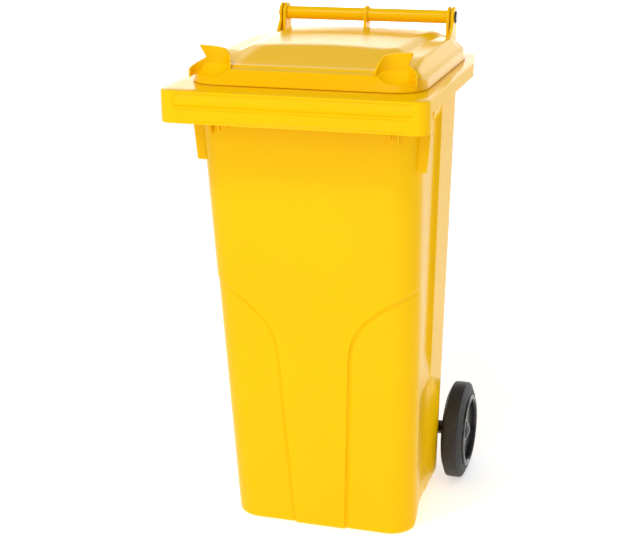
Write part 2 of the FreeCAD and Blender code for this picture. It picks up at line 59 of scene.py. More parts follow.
# %% [markdown]
# ## Sizes
# Sizes are in millimetres here, and become metres only when a mesh is made. What the frame knows is asked
# of the frame: the rim's height is the top of the skirted tub below its handle eyes, the hinge line is
# the joint's own position, and the wheels' centre comes from the tyre's box.

# %% Sizes from the frame
MM = 1000.0


def node_box(node):
    """A CAD node's lowest and highest corner in millimetres, as two arrays."""
    low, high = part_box(node)
    return np.array(low) * MM, np.array(high) * MM


def joint_place(name):
    """A joint's position in millimetres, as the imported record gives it."""
    for joint in frame["record"]["behaviour"]["joints"]:
        if joint["name"] == name:
            return np.array(joint["pos_m"]) * MM
    raise ValueError(name)


tub_low, tub_high = node_box("tub")
lid_low, lid_high = node_box("lid")
bar_low, bar_high = node_box("handle_bar")
tyre_low, tyre_high = node_box("tyre_right")
hinge = joint_place("lid_hinge")

rim_half = tub_high[0]
rim_front = tub_low[1]
lid_half = lid_high[0]
lid_front = lid_low[1]
lid_foot = lid_low[2]
rim_z = lid_foot - 0.5
bar_radius = (bar_high[2] - bar_low[2]) / 2.0
wheel_centre = joint_place("wheel_right_spin")
print("rim: half width %.1f, front %.1f, height %.1f" % (rim_half, rim_front, rim_z))
print("hinge line: y %.1f, z %.1f; bar radius %.1f" % (hinge[1], hinge[2], bar_radius))

# %% [markdown]
# ## Two small tools for making surfaces
# Every new shape in this lesson is a grid of points: rows in one direction, columns in the other. The
# first tool turns such a grid into quads. It can wrap the columns round, as a tin's label does, and close
# an end row with a single point, as the pole of a globe does. The second gives smooth steps, which soften
# every edge of the moulding.

# %% Grid and step helpers
def quads(rows, columns, wrap):
    """Corner numbers of the quads of a grid: each joins a point to its right, upper right and upper
    neighbours."""
    across = np.arange(columns if wrap else columns - 1)
    up = np.arange(rows - 1)
    a = up[:, None] * columns + across[None, :]
    b = up[:, None] * columns + (across[None, :] + 1) % columns
    return np.stack([a, b, b + columns, a + columns], axis=-1).reshape(-1, 4)


def new_object(name, points, faces):
    """An object at the origin from points in millimetres, with its place in its mesh."""
    mesh = bpy.data.meshes.new(name)
    mesh.from_pydata((np.asarray(points, dtype=float) / MM).tolist(), [], [list(map(int, f)) for f in faces])
    mesh.update()
    mesh.validate()
    piece = bpy.data.objects.new(name, mesh)
    bpy.context.scene.collection.objects.link(piece)
    return piece


def grid_object(name, points, wrap=False, pole_first=None, pole_last=None, flip=False):
    """A grid of points (rows, columns, xyz) as one mesh, with each end row closed to a pole if one is
    given."""
    rows, columns = points.shape[:2]
    flat = points.reshape(-1, 3)
    faces = quads(rows, columns, wrap).tolist()
    ring = np.arange(columns)
    after = (ring + 1) % columns
    if pole_first is not None:
        flat = np.vstack([flat, pole_first])
        faces += np.stack([np.full(columns, len(flat) - 1), after, ring], axis=1).tolist()
    if pole_last is not None:
        flat = np.vstack([flat, pole_last])
        top = (rows - 1) * columns
        faces += np.stack([np.full(columns, len(flat) - 1), top + ring, top + after], axis=1).tolist()
    if flip:
        faces = [f[::-1] for f in faces]
    return new_object(name, flat, faces)


def step(x, start, end):
    """0 before start and 1 after end, with a smooth rise between: 3t squared minus 2t cubed."""
    t = np.clip((x - start) / (end - start), 0.0, 1.0)
    return t * t * (3.0 - 2.0 * t)


def soft_min(a, b, width):
    """The smaller of two heights, with the crease between them rounded over width."""
    h = np.clip(0.5 + 0.5 * (b - a) / width, 0.0, 1.0)
    return b + (a - b) * h - width * h * (1.0 - h)


def soft_max(a, b, width):
    """The larger of two heights, rounded the same way."""
    return -soft_min(-a, -b, width)


def smooth(piece, angle=35.0):
    """Smooth shading, with edges sharper than the angle kept crisp."""
    piece.data.shade_smooth()
    piece.data.set_sharp_from_angle(angle=math.radians(angle))
    return piece


def soften(piece, width, segments=3):
    """A small bevel, in millimetres, on every edge that is sharper than 30 degrees."""
    bevel = piece.modifiers.new("soft_edges", "BEVEL")
    bevel.width = width / MM
    bevel.segments = segments
    bevel.limit_method = "ANGLE"
    bevel.angle_limit = math.radians(30.0)
    bevel.harden_normals = False
    return piece


print("grid tools ready")

# %% [markdown]
# ## The moulded plastic
# The real tub and lid are moulded from one pigmented plastic. It is glossy, yet never optically flat: the
# skin has a faint orange peel, the pigment drifts a little in tone, and handling leaves hair-fine scuffs
# that change the gloss and not the colour. All patterns read object coordinates, so they stay put on the
# piece.

# %% Yellow plastic
def principled(name, colour, roughness):
    """A new material whose shader sockets hold the plain values; returns the material, its nodes and its
    shader."""
    material = bpy.data.materials.new(name)
    material.use_nodes = True
    shader = material.node_tree.nodes["Principled BSDF"]
    shader.inputs["Base Color"].default_value = (*colour, 1.0)
    shader.inputs["Roughness"].default_value = roughness
    return material, material.node_tree, shader


def noise(tree, scale, detail, stretch=(1.0, 1.0, 1.0)):
    """A noise pattern on object coordinates; scale is in cells per metre."""
    place = tree.nodes.new("ShaderNodeTexCoord")
    turn = tree.nodes.new("ShaderNodeMapping")
    turn.inputs["Scale"].default_value = stretch
    pattern = tree.nodes.new("ShaderNodeTexNoise")
    pattern.inputs["Scale"].default_value = scale
    pattern.inputs["Detail"].default_value = detail
    tree.links.new(place.outputs["Object"], turn.inputs["Vector"])
    tree.links.new(turn.outputs["Vector"], pattern.inputs["Vector"])
    return pattern.outputs["Fac"]


def spread(tree, value, low, high, start=0.3, end=0.7):
    """Stretches a pattern's middle values, start to end, over low to high."""
    node = tree.nodes.new("ShaderNodeMapRange")
    node.inputs["From Min"].default_value = start
    node.inputs["From Max"].default_value = end
    node.inputs["To Min"].default_value = low
    node.inputs["To Max"].default_value = high
    tree.links.new(value, node.inputs["Value"])
    return node.outputs["Result"]


def blend_colours(tree, factor, first, second):
    """Mixes two colours by a pattern."""
    node = tree.nodes.new("ShaderNodeMix")
    node.data_type = "RGBA"
    node.inputs["A"].default_value = (*first, 1.0)
    node.inputs["B"].default_value = (*second, 1.0)
    tree.links.new(factor, node.inputs["Factor"])
    return node.outputs["Result"]


def bump(tree, shader, height, distance, strength):
    """Sends a height pattern to the shader's normal."""
    node = tree.nodes.new("ShaderNodeBump")
    node.inputs["Distance"].default_value = distance / MM
    node.inputs["Strength"].default_value = strength
    tree.links.new(height, node.inputs["Height"])
    tree.links.new(node.outputs["Normal"], shader.inputs["Normal"])


def yellow_plastic():
    """Glossy pigmented plastic: slow drift in tone, fine scuffs in the gloss, and a faint orange peel."""
    material, tree, shader = principled("yellow_plastic", (0.95, 0.53, 0.001), 0.18)
    shader.inputs["IOR"].default_value = 1.17
    drift = spread(tree, noise(tree, 4.0, 2.0), 0.0, 1.0)
    colour = blend_colours(tree, drift, (0.955, 0.560, 0.001), (0.935, 0.535, 0.001))
    tree.links.new(colour, shader.inputs["Base Color"])
    scuffs = spread(tree, noise(tree, 45.0, 8.0), 0.14, 0.20)
    tree.links.new(scuffs, shader.inputs["Roughness"])
    bump(tree, shader, noise(tree, 320.0, 2.0), 0.08, 0.05)
    return material


YELLOW = yellow_plastic()
print("made", YELLOW.name)

# %% [markdown]
# ## The tub
# The real tub is one injection moulding: a tapered box whose wall turns out at the top into a flange, and
# down again into a skirt that the lorry's comb lifts. It could be modelled as a box with bevels, but its
# steps run into each other at low angles, so it is worked out as one grid instead. Every row is a ring
# round the tub. The rows start at a pole under the floor, climb the outside, go round the skirt, and come
# down the inside to a second pole, so that the shell is closed, with a real wall and a real mouth.

# %% Rings round the tub
wall = 4.0
tub_half_top = 206.0
tub_half_base = 181.0
tub_front_top = -202.0
tub_front_base = -128.0
tub_back_top = 154.0
tub_back_base = 130.0
tub_front_radius = 52.0
tub_back_radius = 44.0
front_columns, corner_columns, side_columns, back_columns = 56, 13, 46, 12


def side_stations(y0, y1, knots):
    """Places along a side, from y0 to y1, that gather round given places. knots is a list of (share of the
    columns, y)."""
    share = np.linspace(0.0, 1.0, side_columns + 1)[1:]
    at = [0.0] + [k[0] for k in knots] + [1.0]
    return np.interp(share, at, [y0] + [k[1] for k in knots] + [y1])


def half_ring(half, y0, y1, r_front, r_back, front_knots, side_knots):
    """The right half of a rounded rectangle, from the middle of the front to the middle of the back: points
    (x, y) and outward normals, always with the same number of columns in each stretch."""
    share = np.linspace(0.0, 1.0, front_columns + 1)
    x = np.interp(share, [0.0] + [k[0] for k in front_knots] + [1.0],
                  [0.0] + [k[1] for k in front_knots] + [half - r_front])
    front = np.stack([x, np.full_like(x, y0)], axis=1)
    turn = np.linspace(-90.0, 0.0, corner_columns + 1)[1:] * math.pi / 180.0
    front_corner = np.stack([half - r_front + r_front * np.cos(turn),
                             y0 + r_front + r_front * np.sin(turn)], axis=1)
    y = side_stations(y0 + r_front, y1 - r_back, side_knots)
    side = np.stack([np.full_like(y, half), y], axis=1)
    turn_back = turn + math.pi / 2.0
    back_corner = np.stack([half - r_back + r_back * np.cos(turn_back),
                            y1 - r_back + r_back * np.sin(turn_back)], axis=1)
    x = np.linspace(half - r_back, 0.0, back_columns + 1)[1:]
    back = np.stack([x, np.full_like(x, y1)], axis=1)
    points = np.vstack([front, front_corner, side, back_corner, back])
    normals = np.vstack([
        np.tile([0.0, -1.0], (len(front), 1)),
        np.stack([np.cos(turn), np.sin(turn)], axis=1),
        np.tile([1.0, 0.0], (len(side), 1)),
        np.stack([np.cos(turn_back), np.sin(turn_back)], axis=1),
        np.tile([0.0, 1.0], (len(back), 1)),
    ])
    return points, normals


def full_ring(half_points):
    """A closed ring from its right half: the left half is its mirror image, without the two shared points."""
    left = half_points[-2:0:-1] * np.array([-1.0] + [1.0] * (half_points.shape[1] - 1))
    return np.vstack([half_points, left])


ring_columns = len(full_ring(half_ring(100.0, -100.0, 100.0, 20.0, 20.0, [], [])[0]))
print("columns in each ring:", ring_columns)

# %% [markdown]
# The tub's face has two shallow features. The front carries a raised panel: narrow and straight below,
# and flaring out to the corners above in one sweep. The sides have a long hollow that ends in a sharp
# step, where the rear of the tub stands out. Both are pushes along the ring's outward normal.

# %% Panel, hollow and step
panel_proud = 4.0
panel_groove = 1.7
panel_foot_half = 50.5
panel_taper = 0.049
panel_flare_z = 357.0
panel_flare_height = 143.0
panel_flare = 97.0
panel_flare_power = 2.7
step_y = -12.0
step_out = 1.0
step_run = 8.0
hollow_in = 6.0
hollow_low, hollow_high = 318.0, 800.0
wheel_hollow_in = 9.0
wheel_hollow_y = 6.0
wheel_hollow_run = 78.0
wheel_hollow_low, wheel_hollow_high = 88.0, 280.0


def panel_half(z):
    """Half the panel's width at a height: a slight taper, plus a power curve above the flare's start."""
    rise = np.clip((z - panel_flare_z) / panel_flare_height, 0.0, 1.6)
    return panel_foot_half + panel_taper * z + panel_flare * rise ** panel_flare_power


def panel_push(x, z):
    """How far the panel stands out: a smooth step across its edge, measured square to the edge, with a
    shallow groove along its foot."""
    edge = panel_half(z)
    slope = (panel_half(z + 1.0) - edge)
    within = (edge - np.abs(x)) / np.sqrt(1.0 + slope * slope)
    return panel_proud * step(within, -1.6, 2.2) - panel_groove * np.exp(-((within + 3.2) / 2.0) ** 2)


def side_push(y, z, hollow_start):
    """The side's two hollows: the upper one slopes in slowly and rises quickly, and the one beside the wheel
    rises slowly behind its deepest line. Its top end runs down towards the back."""
    upper = step(z, hollow_low - 36.0, hollow_low + 44.0) * (1.0 - step(z, hollow_high, hollow_high + 24.0))
    slope = np.clip((y - hollow_start) / (step_y - hollow_start), 0.0, 1.0)
    rise = step(y, step_y, step_y + step_run)
    top = wheel_hollow_high - 0.85 * np.clip(y - wheel_hollow_y, 0.0, None)
    lower = step(z, wheel_hollow_low - 16.0, wheel_hollow_low) * (1.0 - step(z, top - 14.0, top + 4.0))
    wheel_slope = np.clip((y - hollow_start) / (wheel_hollow_y - hollow_start), 0.0, 1.0)
    wheel_rise = np.clip((y - wheel_hollow_y) / wheel_hollow_run, 0.0, 1.0)
    return step_out * rise - hollow_in * slope * (1.0 - rise) * upper - (
        wheel_hollow_in * wheel_slope * (1.0 - wheel_rise) * lower)


def tub_ring(z, inset):
    """The tub's half ring at a height, or at one height per column, moved in by inset."""
    level = np.broadcast_to(np.asarray(z, dtype=float), (ring_half,)).copy()
    share = level / rim_z
    mid = float(np.mean(share))
    half = tub_half_base + (tub_half_top - tub_half_base) * mid
    y0 = tub_front_base + (tub_front_top - tub_front_base) * mid
    y1 = tub_back_base + (tub_back_top - tub_back_base) * mid
    edge = float(panel_half(mid * rim_z))
    last = half - tub_front_radius
    front_knots = [(0.34, min(edge - 7.0, last - 26.0)), (0.66, min(edge + 7.0, last - 8.0))]
    side_knots = [(0.30, step_y - 2.0), (0.54, step_y + step_run + 1.0), (0.74, wheel_hollow_y + 14.0)]
    points, normals = half_ring(half - inset, y0 + inset, y1 - inset, tub_front_radius - inset,
                                tub_back_radius - inset, front_knots, side_knots)
    delta = share - mid
    grow = np.stack([
        (tub_half_top - tub_half_base) * delta * np.clip(normals[:, 0], 0.0, 1.0),
        delta * np.where(normals[:, 1] < 0.0, (tub_front_top - tub_front_base) * -normals[:, 1],
                         (tub_back_top - tub_back_base) * normals[:, 1]),
    ], axis=1)
    points = points + grow
    facing = np.clip(-normals[:, 1], 0.0, 1.0)
    push = panel_push(points[:, 0], level) * facing
    push += side_push(points[:, 1], level, y0 + tub_front_radius + 10.0) * np.clip(normals[:, 0], 0.0, 1.0)
    points = points + normals * push[:, None]
    return np.column_stack([points, level])


ring_half = len(half_ring(100.0, -100.0, 100.0, 20.0, 20.0, [], [])[0])
sample_heights = np.array([0.0, 400.0, 500.0])
print("panel half width at 0, 400 and 500 mm: %.0f, %.0f, %.0f" % tuple(panel_half(sample_heights)))

# %% [markdown]
# ## The rim
# The flange and its skirt follow a squarer ring than the tub's. The skirt is deep at the front, where the
# comb grips it, and shallow along the sides and the back. Between the corners two bands are set in a
# little, and the strip left between them gives the fine line that runs across the front.

# %% The rim's rings
smallest_radius = 4.0
rim_back = 234.0
rim_front_radius = 22.0
rim_back_radius = 38.0
rim_taper_y, rim_taper_run, rim_taper = 105.0, 85.0, 17.0 / 240.0
skirt_front = 57.0
skirt_side = 24.0
skirt_return_y = rim_front + 34.0
skirt_split = 28.0
skirt_set_in = 3.6
skirt_panel_half = 213.0
band_set_in = 2.6
band_half = 205.0


def rim_ring(inset):
    """The rim's half ring moved in by inset, as points (x, y) and normals. Behind rim_taper_y the sides draw
    in towards the back."""
    front_knots = [(0.70, band_half - 7.0), (0.97, skirt_panel_half + 3.0)]
    side_knots = [(0.12, skirt_return_y - 0.4), (0.16, skirt_return_y + 0.4)]
    points, normals = half_ring(rim_half - inset, rim_front + inset, rim_back - inset,
                                max(rim_front_radius - inset, smallest_radius), rim_back_radius - inset,
                                front_knots, side_knots)
    points[:, 0] *= 1.0 - rim_taper * np.clip((points[:, 1] - rim_taper_y) / rim_taper_run, 0.0, 1.0)
    return points, normals


def skirt_depth():
    """The skirt's depth for each column: deep in front of skirt_return_y, and shallow behind it."""
    y = rim_ring(0.0)[0][:, 1]
    return np.where(y < skirt_return_y, skirt_front, skirt_side)


def skirt_row(share, inset, set_in=False):
    """One row of the skirt, share of the way from the rim's top to the skirt's lower edge."""
    points, normals = rim_ring(inset)
    depth = skirt_depth() * share
    if set_in:
        across = np.abs(points[:, 0])
        panel = step(depth, 3.0, 6.5) * (1.0 - step(depth, skirt_split - 2.0, skirt_split))
        panel = panel * (1.0 - step(across, skirt_panel_half - 5.0, skirt_panel_half + 2.0))
        band = step(depth, skirt_split + 1.6, skirt_split + 4.2) * (1.0 - step(depth, 52.0, 54.5))
        band = band * (1.0 - step(across, band_half - 6.0, band_half + 4.0))
        inset_depth = (skirt_set_in * panel + band_set_in * band) * np.clip(-normals[:, 1], 0.0, 1.0)
        points = points - normals * inset_depth[:, None]
    return np.column_stack([points, rim_z - depth])


print("skirt: %.0f deep in front, %.0f along the sides" % (skirt_front, skirt_side))

# %% Tub rows from pole to pole
foot_back = -92.0
foot_rise = 44.0
floor_z = 40.0
bottom_round = 7.0
rim_round = 2.0
skirt_row_depths = (56.0, 55.0, 54.5, 53.8, 53.2, 52.6, 52.0, 48.0, 40.0, 33.0, 32.2, 31.5, 30.8, 30.2, 29.6,
                    28.8, 28.0, 27.4, 26.8, 26.2, 25.6, 20.0, 10.0, 5.0, 4.5, 4.0, 3.5, 3.0, 2.4)


def underside(y):
    """The height of the tub's underside at y: on the ground in the foot, and up at floor_z behind it."""
    return floor_z * step(y, foot_back, foot_back + foot_rise)


def shrink(ring, share, height):
    """A ring drawn in towards the middle of the tub, with its heights worked out again by the height
    function."""
    middle = np.array([0.0, 0.0])
    points = middle + (ring[:, :2] - middle) * share
    return np.column_stack([points, height(points[:, 1])])


def tub_rows():
    """All half rings of the tub, from the pole under the floor, up the outside and down the inside."""
    rows = []
    base = tub_ring(10.0, 0.0)
    foot = underside(base[:, 1])
    lowest = tub_ring(foot, bottom_round)
    rows += [shrink(lowest, s, underside) for s in np.linspace(0.06, 0.985, 22)]
    for turn in np.radians([0.0, 30.0, 60.0, 90.0]):
        rows.append(tub_ring(foot + bottom_round * (1.0 - math.cos(turn)),
                             bottom_round * (1.0 - math.sin(turn))))
    shares = np.concatenate([np.linspace(0.0, 0.30, 50)[1:], np.linspace(0.30, 0.62, 190)[1:],
                             np.linspace(0.62, 0.88, 34)[1:], np.linspace(0.88, 1.0, 22)[1:]])
    start = foot + bottom_round
    rows += [tub_ring(start + (rim_z - wall - start) * s, 0.0) for s in shares]
    under = rim_ring(wall + 3.0)[0]
    rows.append(np.column_stack([under, np.full(ring_half, rim_z - wall)]))
    for share, inset in ((0.10, wall), (0.5, wall), (0.97, wall), (1.0, wall - 1.0), (1.0, 1.0)):
        rows.append(skirt_row(share, inset))
    for depth in skirt_row_depths:
        rows.append(skirt_row(depth / skirt_front, 0.0, True))
    for turn in np.radians([30.0, 60.0, 90.0]):
        points = rim_ring(rim_round * (1.0 - math.cos(turn)))[0]
        rows.append(np.column_stack([points, np.full(ring_half, rim_z - rim_round * (1.0 - math.sin(turn)))]))
    mouth = tub_ring(rim_z, wall)
    flat = rim_ring(rim_round)[0]
    for share in (0.33, 0.66, 0.95):
        points = flat + (mouth[:, :2] - flat) * share
        rows.append(np.column_stack([points, np.full(ring_half, rim_z)]))
    rows.append(tub_ring(rim_z - 1.5, wall))
    inner_foot = foot + wall + 6.0
    rows += [tub_ring(rim_z - 6.0 + (inner_foot - rim_z + 6.0) * s, wall) for s in np.linspace(0.0, 1.0, 40)]
    lowest = tub_ring(foot + wall, wall + 6.0)
    rows += [shrink(lowest, s, lambda y: underside(y) + wall) for s in np.linspace(0.985, 0.06, 20)]
    return rows


def make_tub():
    """The whole shell as one closed grid."""
    rows = np.stack([full_ring(row) for row in tub_rows()])
    low_pole = np.array([0.0, 0.0, underside(np.array(0.0))])
    high_pole = low_pole + np.array([0.0, 0.0, wall])
    piece = grid_object("tub_shell", rows, wrap=True, pole_first=low_pole, pole_last=high_pole)
    smooth(piece, 28.0)
    piece.data.materials.append(YELLOW)
    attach(piece, "tub")
    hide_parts("tub")
    return piece


tub_shell = make_tub()
print("tub shell:", len(tub_shell.data.polygons), "faces")

# %% [markdown]
# ## Plates under and behind the rim
# Gussets stiffen the skirt, a fin stands on each side behind the front corner, and three eyes carry the
# handle bar. On the real tub they are flat ribs of the same moulding. Each is an outline given a
# thickness, and a bevel rounds its edges, which is what separates a moulded rib from a sheet of card.

# %% Plate helper
def plate(name, outline, low, high, axis):
    """An outline (N, 2) carried along X or Y from low to high, in millimetres, closed by a face at each
    end."""
    outline = np.asarray(outline, dtype=float)
    count = len(outline)
    layers = []
    for level in (low, high):
        along = np.full(count, level)
        if axis == "x":
            layers.append(np.column_stack([along, outline[:, 0], outline[:, 1]]))
        else:
            layers.append(np.column_stack([outline[:, 0], along, outline[:, 1]]))
    points = np.vstack(layers)
    faces = quads(2, count, True).tolist()
    faces.append(list(range(count))[::-1])
    faces.append(list(range(count, 2 * count)))
    u, v = outline[:, 0], outline[:, 1]
    area = 0.5 * np.sum(u * np.roll(v, -1) - v * np.roll(u, -1))
    if (area > 0) != (axis == "x"):
        faces = [f[::-1] for f in faces]
    return new_object(name, points, faces)


def arc(cy, cz, radius, start, end, count):
    """Points on a circle from one angle to another, in degrees, anticlockwise."""
    turn = np.radians(np.linspace(start, end, count))
    return np.column_stack([cy + radius * np.cos(turn), cz + radius * np.sin(turn)])


def dress(piece, body, material, replaced=()):
    """Gives a finished piece its material and its body, and hides the CAD parts it replaces."""
    piece.data.materials.clear()
    piece.data.materials.append(material)
    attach(piece, body)
    if replaced:
        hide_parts(*replaced)
    return piece


def join(name, pieces):
    """Several plates as one object."""
    vertices, faces = [], []
    for piece in pieces:
        start = len(vertices)
        vertices += [tuple(v.co * MM) for v in piece.data.vertices]
        faces += [[start + i for i in p.vertices] for p in piece.data.polygons]
        mesh = piece.data
        bpy.data.objects.remove(piece)
        bpy.data.meshes.remove(mesh)
    return new_object(name, vertices, faces)


def front_wall(z):
    """The front wall's y at a height, with its raised panel."""
    return tub_front_base + (tub_front_top - tub_front_base) * z / rim_z - panel_proud


def back_wall(z):
    """The back wall's y at a height."""
    return tub_back_base + (tub_back_top - tub_back_base) * z / rim_z


def side_wall(z):
    """The side wall's x at a height."""
    return tub_half_base + (tub_half_top - tub_half_base) * z / rim_z


print("front wall leans from %.0f to %.0f" % (front_wall(0.0), front_wall(rim_z)))

# %% Gussets and fins
gusset_first, gusset_pitch, gusset_count, gusset_thick = 94.0, 15.5, 6, 3.0
gusset_reach = 26.0
gusset_length, gusset_growth = 66.0, 5.0


def make_gussets():
    """Two rows of upright ribs between the front wall and the skirt, each a little longer than the last."""
    made = []
    for side in (-1.0, 1.0):
        for i in range(gusset_count):
            low = rim_z - gusset_length - gusset_growth * i
            top = rim_z - wall + 1.0
            outline = [(front_wall(low) + 3.0, low), (front_wall(top) + 3.0, top),
                       (front_wall(top) - gusset_reach, top),
                       (front_wall(low) - gusset_reach * 0.6, low + 30.0), (front_wall(low) - 4.0, low + 3.0)]
            x = side * (gusset_first + gusset_pitch * i)
            made.append(plate("gusset", outline, x - gusset_thick / 2.0, x + gusset_thick / 2.0, "x"))
    piece = join("tub_gussets", made)
    soften(piece, 0.7, 2)
    return dress(smooth(piece), "tub", YELLOW)


fin_low, fin_front, fin_back = 737.0, -166.0, -157.0
fin_low_reach, fin_knee_reach = 12.0, 17.0


def make_fins():
    """One upright fin under the rim on each side, behind the front corner."""
    made = []
    for side in (-1.0, 1.0):
        low, knee, top = fin_low, rim_z - skirt_front - 6.0, rim_z - 3.0
        outline = np.array([(side_wall(low) - 6.0, low), (side_wall(low) + fin_low_reach, low),
                            (side_wall(knee) + fin_knee_reach, knee), (rim_half - 5.0, top),
                            (side_wall(top) - 2.0, top)])
        outline[:, 0] *= side
        made.append(plate("fin", outline, fin_front, fin_back, "y"))
    piece = join("tub_fins", made)
    soften(piece, 1.6, 3)
    return dress(smooth(piece), "tub", YELLOW)


make_gussets()
make_fins()
print("gussets:", 2 * gusset_count, " fins: 2")

# %% Handle eyes
eye_radius = 20.0
eye_half_thick = 3.0
eye_centres = (-167.0, 0.0, 167.0)
eye_shapes = ((20.0, rim_back + 12.0), (17.5, rim_back + 4.0), (20.0, rim_back + 12.0))
bar_y, bar_z = hinge[1], hinge[2]


def make_handle_eyes():
    """Three brackets: each rises from the back wall, passes the rim, and ends in a round eye on the bar's
    line."""
    low = rim_z - 92.0
    made = []
    for x, (radius, back_y) in zip(eye_centres, eye_shapes):
        outline = np.vstack([
            [(back_wall(low) - 3.0, low)],
            [(back_y, rim_z - 24.0), (back_y, bar_z - 2.0 * radius)],
            arc(bar_y, bar_z, radius, -20.0, 180.0, 24),
            [(203.0, rim_z + 20.0), (203.0, rim_z - 2.0), (back_wall(rim_z) - 3.0, rim_z - 2.0)],
        ])
        made.append(plate("eye", outline, x - eye_half_thick, x + eye_half_thick, "x"))
    for x in eye_centres:
        collar_half = 5.0 if x == 0.0 else 4.0
        made.append(plate("collar", arc(bar_y, bar_z, bar_radius + 3.0, 0.0, 350.0, 36), x - collar_half,
                          x + collar_half, "x"))
    piece = join("handle_eyes", made)
    soften(piece, 1.3, 3)
    return dress(smooth(piece), "tub", YELLOW)


make_handle_eyes()
print("handle eyes at x", eye_centres)

# %% Axle lugs and tread plate
axle_y, axle_z = wheel_centre[1], wheel_centre[2]
lug_half_thick = 5.0
lug_centres = (149.0, 92.0)
lug_radius = 24.0
tread_z = axle_z + 24.0


def make_lugs():
    """Four lugs behind the tub, with round ends on the axle's line, and a tread plate between the inner
    two."""
    made = []
    for x in lug_centres:
        for side in (-1.0, 1.0):
            low, top = floor_z + 4.0, axle_z + 70.0
            outline = np.vstack([
                [(back_wall(low) - 24.0, low)],
                arc(axle_y, axle_z, lug_radius, -105.0, 37.0, 18),
                [(back_wall(top) - 3.0, top), (back_wall(top) - 20.0, top - 30.0)],
            ])
            made.append(plate("lug", outline, side * x - lug_half_thick, side * x + lug_half_thick, "x"))
    tread = [(back_wall(tread_z) - 3.0, tread_z), (axle_y + 14.0, tread_z),
             (axle_y + 14.0, tread_z + 5.0), (back_wall(tread_z) - 3.0, tread_z + 5.0)]
    made.append(plate("tread", tread, -lug_centres[1], lug_centres[1], "x"))
    piece = join("axle_lugs", made)
    soften(piece, 1.6, 3)
    return dress(smooth(piece), "tub", YELLOW)


make_lugs()
print("lugs at x", lug_centres)

# %% [markdown]
# ## The lid
# The real lid is one thin dome: a lip all round, a long slope at the front that sheds rain towards the
# user, a deck, and a raised roof whose crown stiffens it. At the front corners the deck dips into two
# finger scoops. Its height is a function of x and y: planes for the slopes, joined by soft minimum and
# maximum, so that every crease comes out rounded. The grid of points is drawn in from the lip towards the
# middle.

# %% The lid's height
lid_back = 197.0
lid_radius = 56.0
lip_top = lid_foot + 5.0
lip_slope = 1.35
deck_front, deck_rise, deck_fall = 917.0, 9.0, 4.0
roof_foot = 922.0
roof_half = 164.0
roof_front = -152.0
roof_rise = 15.0
roof_side_slope, roof_front_slope = 0.42, 0.165
roof_corner_reach, roof_corner_x, roof_corner_y, roof_corner_slope = 192.0, 0.737, 0.676, 0.22
scoop_x, scoop_y, scoop_radius, scoop_low = 167.0, -214.0, 42.0, 898.0


def inside(x, y):
    """How far a point lies inside the lid's rounded outline."""
    middle, half_depth = (lid_front + lid_back) / 2.0, (lid_back - lid_front) / 2.0
    u = np.abs(x) - (lid_half - lid_radius)
    v = np.abs(y - middle) - (half_depth - lid_radius)
    outside = np.hypot(np.maximum(u, 0.0), np.maximum(v, 0.0)) + np.minimum(np.maximum(u, v), 0.0)
    return lid_radius - outside


def lid_body(x, y):
    """Lip, slope and deck: a steep slope all round, under a deck that rises from the front and falls a little
    towards the back."""
    slope = lip_top + lip_slope * inside(x, y)
    deck = deck_front + deck_rise * step(y, -205.0, -70.0) - deck_fall * step(y, 60.0, 200.0)
    return soft_min(slope, deck, 6.0)


def lid_roof(x, y):
    """The raised roof: side and front slopes with cut corners, under a crown that curves down to the
    sides."""
    sides = (roof_half - np.abs(x)) * roof_side_slope
    front = (y - roof_front) * roof_front_slope
    corner = (roof_corner_reach - roof_corner_x * np.abs(x) + roof_corner_y * y) * roof_corner_slope
    back = (lid_back + 4.0 - y) * 1.2
    crown = roof_rise - 4.0 * step(y, 60.0, 200.0) - 4.0 * (x / roof_half) ** 2
    slopes = soft_min(soft_min(sides, front, 1.6), corner, 1.6)
    return roof_foot + soft_min(soft_min(slopes, crown, 2.5), back, 4.0)


def lid_height(x, y):
    """The finished upper surface, with the two scoops sunk into the front corners."""
    height = soft_max(lid_body(x, y), lid_roof(x, y), 1.6)
    reach = np.hypot(np.abs(x) - scoop_x, y - scoop_y)
    scoop = scoop_low + scoop_radius - np.sqrt(np.clip(scoop_radius ** 2 - reach ** 2, 0.0, None))
    scoop = scoop + 3.0 * np.clip(reach - 0.9 * scoop_radius, 0.0, None)
    return np.maximum(soft_min(height, scoop, 1.6), lid_foot + 3.5)


print("lid height: lip %.0f, deck %.0f, crown %.0f" % (lip_top, deck_front + deck_rise,
                                                       float(lid_height(np.array(0.0), 20.0))))

# %% The lid's shell
lid_wall = 3.0


def lid_outline(inset):
    """The lid's outline, 480 points evenly round a rounded rectangle, moved in by inset."""
    radius = max(lid_radius - inset, smallest_radius)
    half = lid_half - inset
    y0, y1 = lid_front + inset, lid_back - inset
    stretches = []
    for cx, cy, start in ((half - radius, y0 + radius, -90.0), (half - radius, y1 - radius, 0.0),
                          (-half + radius, y1 - radius, 90.0), (-half + radius, y0 + radius, 180.0)):
        turn = np.radians(start + np.linspace(0.0, 90.0, 40))
        stretches.append(np.column_stack([cx + radius * np.cos(turn), cy + radius * np.sin(turn)]))
    ring = []
    for i in range(4):
        ring.append(stretches[i])
        a, b = stretches[i][-1], stretches[(i + 1) % 4][0]
        share = np.linspace(0.0, 1.0, 62)[1:-1, None]
        ring.append(a + (b - a) * share)
    return np.vstack(ring)


